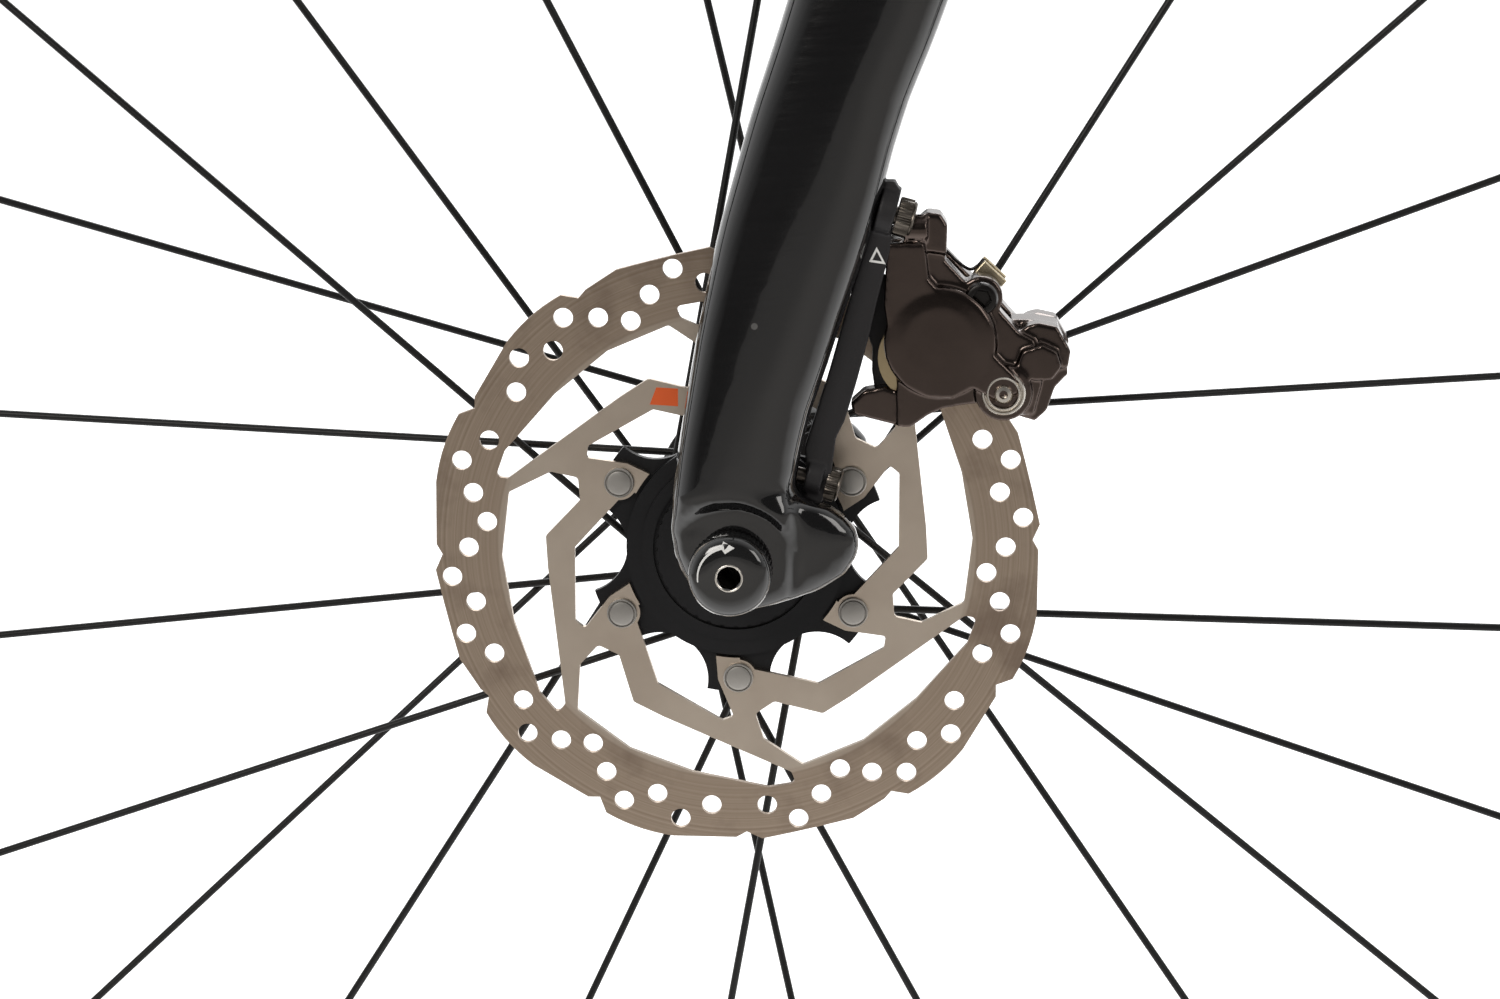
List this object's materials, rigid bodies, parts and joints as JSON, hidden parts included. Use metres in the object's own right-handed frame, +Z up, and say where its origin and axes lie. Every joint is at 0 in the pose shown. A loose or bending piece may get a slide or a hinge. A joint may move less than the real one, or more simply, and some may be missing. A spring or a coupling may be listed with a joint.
{
  "type": "road bicycle",
  "caption": "Drop-bar road bicycle with hydraulic disc brakes, thru-axle wheels, a single chainring, a rear derailleur and a slim saddle on a round post.",
  "frame": {"origin": "on the ground, midway between the two axles, in the middle plane", "axes": "+X forwards, +Y to the rider's left, +Z up"},
  "size_m": [1.6688, 0.461, 0.9676],
  "materials": {
    "frame_paint": "high-gloss clear coat over black composite",
    "black_alloy": "satin black anodised",
    "silver_alloy": "turned",
    "rotor_steel": "ground stainless steel with a warm tint",
    "rivet_steel": "satin",
    "caliper_alloy": "glossy gunmetal anodised",
    "bolt_steel": "plated",
    "tyre_rubber": "smooth tread",
    "rim_black": "satin black",
    "spoke_black": "black",
    "tape": "embossed handlebar tape",
    "hood_rubber": "textured rubber",
    "lever_black": "satin black",
    "saddle_skin": "microfibre over foam",
    "rail_steel": "satin",
    "chain_steel": "nickel plated",
    "cassette_steel": "nickel plated",
    "pedal_plastic": "moulded",
    "pad_metal": "plated backing",
    "bearing_steel": "ground"
  },
  "bodies": {
    "frame": {"head_tube": "frame_paint", "top_tube": "frame_paint", "down_tube": "frame_paint", "seat_tube": "frame_paint", "chainstays": "frame_paint", "seatstays": "frame_paint", "seat_clamp": "black_alloy", "bottom_bracket": "black_alloy", "headset_bearings": "bearing_steel", "rear_thru_axle": "black_alloy", "derailleur_hanger": "black_alloy", "derailleur_body": "black_alloy", "rear_caliper": "caliper_alloy", "chain": "chain_steel"},
    "steering": {"fork": "frame_paint", "stem": "black_alloy", "handlebar": "black_alloy", "bar_tape": "tape", "lever_hoods": "hood_rubber", "front_thru_axle": "black_alloy", "front_caliper": "caliper_alloy", "caliper_mount": "black_alloy", "caliper_bolts": "bolt_steel"},
    "front_wheel": {"front_tyre": "tyre_rubber", "front_rim": "rim_black", "front_spokes": "spoke_black", "front_hub": "black_alloy", "front_rotor": "rotor_steel", "front_rotor_spider": "black_alloy", "front_rotor_rivets": "rivet_steel", "front_lockring": "black_alloy"},
    "rear_wheel": {"rear_tyre": "tyre_rubber", "rear_rim": "rim_black", "rear_spokes": "spoke_black", "rear_hub": "black_alloy", "rear_rotor": "rotor_steel"},
    "freehub": {"cassette": "cassette_steel", "freehub_body": "silver_alloy"},
    "crankset": {"crank_arm_right": "black_alloy", "crank_arm_left": "black_alloy", "chainring": "black_alloy", "crank_hardware": "bolt_steel"},
    "left_pedal": {"pedal_left": "pedal_plastic"},
    "right_pedal": {"pedal_right": "pedal_plastic"},
    "left_lever": {"brake_lever_left": "lever_black"},
    "right_lever": {"brake_lever_right": "lever_black"},
    "paddle": {"shift_paddle": "lever_black"},
    "front_outer_pad": {"front_pad_outer": "pad_metal"},
    "front_inner_pad": {"front_pad_inner": "pad_metal"},
    "rear_outer_pad": {"rear_pad_outer": "pad_metal"},
    "rear_inner_pad": {"rear_pad_inner": "pad_metal"},
    "outer_link": {"derailleur_link_outer": "black_alloy"},
    "inner_link": {"derailleur_link_inner": "black_alloy"},
    "knuckle": {"derailleur_knuckle": "black_alloy"},
    "cage": {"derailleur_cage": "black_alloy"},
    "guide_wheel": {"guide_pulley": "pedal_plastic"},
    "tension_wheel": {"tension_pulley": "pedal_plastic"},
    "seat": {"seatpost": "black_alloy", "saddle_cover": "saddle_skin", "saddle_rails": "rail_steel"}
  },
  "joints": [
    {"name": "steering_turn", "type": "hinge", "parent": "frame", "child": "steering", "pos_m": [0.29944, 0, 0.833], "axis": [-0.2924, 0, 0.9563], "range_deg": [-50, 50]},
    {"name": "front_wheel_spin", "type": "hinge", "parent": "steering", "child": "front_wheel", "pos_m": [0.49544, 0, 0.339], "axis": [0, 1, 0], "continuous": true},
    {"name": "rear_wheel_spin", "type": "hinge", "parent": "frame", "child": "rear_wheel", "pos_m": [-0.49544, 0, 0.339], "axis": [0, 1, 0], "continuous": true},
    {"name": "crank_spin", "type": "hinge", "parent": "frame", "child": "crankset", "pos_m": [-0.08656, 0, 0.268], "axis": [0, 1, 0], "continuous": true, "deforming": ["chain"]},
    {"name": "cassette_spin", "type": "hinge", "parent": "frame", "child": "freehub", "pos_m": [-0.49544, 0, 0.339], "axis": [0, 1, 0], "continuous": true, "deforming": ["chain"]},
    {"name": "left_pedal_spin", "type": "hinge", "parent": "crankset", "child": "left_pedal", "pos_m": [-0.08656, 0, 0.4405], "axis": [0, 1, 0], "continuous": true},
    {"name": "right_pedal_spin", "type": "hinge", "parent": "crankset", "child": "right_pedal", "pos_m": [-0.08656, 0, 0.0955], "axis": [0, 1, 0], "continuous": true},
    {"name": "left_brake_pull", "type": "hinge", "parent": "steering", "child": "left_lever", "pos_m": [0.52509, 0.21, 0.89345], "axis": [0, 1, 0], "range_deg": [0, 15], "stiffness_Nm_per_rad": 0.4, "springref_deg": -11.46},
    {"name": "right_brake_pull", "type": "hinge", "parent": "steering", "child": "right_lever", "pos_m": [0.52509, -0.21, 0.89345], "axis": [0, 1, 0], "range_deg": [0, 15], "stiffness_Nm_per_rad": 0.4, "springref_deg": -11.46},
    {"name": "shift_paddle_push", "type": "hinge", "parent": "right_lever", "child": "paddle", "pos_m": [0.51989, -0.215, 0.84745], "axis": [0, 0, 1], "range_deg": [0, 12], "stiffness_Nm_per_rad": 0.05, "springref_deg": -11.46},
    {"name": "front_outer_pad_slide", "type": "slide", "parent": "steering", "child": "front_outer_pad", "axis": [0, -1, 0], "range_m": [0, 0.00035]},
    {"name": "front_inner_pad_slide", "type": "slide", "parent": "steering", "child": "front_inner_pad", "axis": [0, 1, 0], "range_m": [0, 0.00035]},
    {"name": "rear_outer_pad_slide", "type": "slide", "parent": "frame", "child": "rear_outer_pad", "axis": [0, -1, 0], "range_m": [0, 0.00035]},
    {"name": "rear_inner_pad_slide", "type": "slide", "parent": "frame", "child": "rear_inner_pad", "axis": [0, 1, 0], "range_m": [0, 0.00035]},
    {"name": "derailleur_shift", "type": "hinge", "parent": "frame", "child": "outer_link", "pos_m": [-0.54344, -0.08898, 0.27803], "axis": [0, 0.6018, 0.7986], "range_deg": [-33.5, 33.5], "deforming": ["chain"]},
    {"name": "inner_link_swing", "type": "hinge", "parent": "frame", "child": "inner_link", "pos_m": [-0.54344, -0.077, 0.269], "axis": [0, 0.6018, 0.7986], "range_deg": [-33.5, 33.5], "deforming": ["chain"]},
    {"name": "knuckle_swing", "type": "hinge", "parent": "outer_link", "child": "knuckle", "pos_m": [-0.50144, -0.08898, 0.27803], "axis": [0, 0.6018, 0.7986], "range_deg": [-33.5, 33.5], "deforming": ["chain"]},
    {"name": "cage_swing", "type": "hinge", "parent": "knuckle", "child": "cage", "pos_m": [-0.48344, 0, 0.263], "axis": [0, 1, 0], "range_deg": [-30, 35], "stiffness_Nm_per_rad": 0.3, "deforming": ["chain"]},
    {"name": "guide_pulley_spin", "type": "hinge", "parent": "cage", "child": "guide_wheel", "pos_m": [-0.48344, 0, 0.263], "axis": [0, 1, 0], "continuous": true, "deforming": ["chain"]},
    {"name": "tension_pulley_spin", "type": "hinge", "parent": "cage", "child": "tension_wheel", "pos_m": [-0.48452, 0, 0.20701], "axis": [0, 1, 0], "continuous": true, "deforming": ["chain"]},
    {"name": "seatpost_slide", "type": "slide", "parent": "frame", "child": "seat", "axis": [-0.284, 0, 0.9588], "range_m": [-0.06, 0.03]}
  ],
  "couplings": [
    {"joint": "cassette_spin", "follows": "crank_spin", "ratio": 2.7059},
    {"joint": "guide_pulley_spin", "follows": "crank_spin", "ratio": -4.1818},
    {"joint": "tension_pulley_spin", "follows": "crank_spin", "ratio": 4.1818},
    {"joint": "front_outer_pad_slide", "follows": "left_brake_pull", "m_per_rad": 0.001337},
    {"joint": "front_inner_pad_slide", "follows": "left_brake_pull", "m_per_rad": 0.001337},
    {"joint": "rear_outer_pad_slide", "follows": "right_brake_pull", "m_per_rad": 0.001337},
    {"joint": "rear_inner_pad_slide", "follows": "right_brake_pull", "m_per_rad": 0.001337},
    {"joint": "inner_link_swing", "follows": "derailleur_shift", "ratio": 1},
    {"joint": "knuckle_swing", "follows": "derailleur_shift", "ratio": -1}
  ]
}
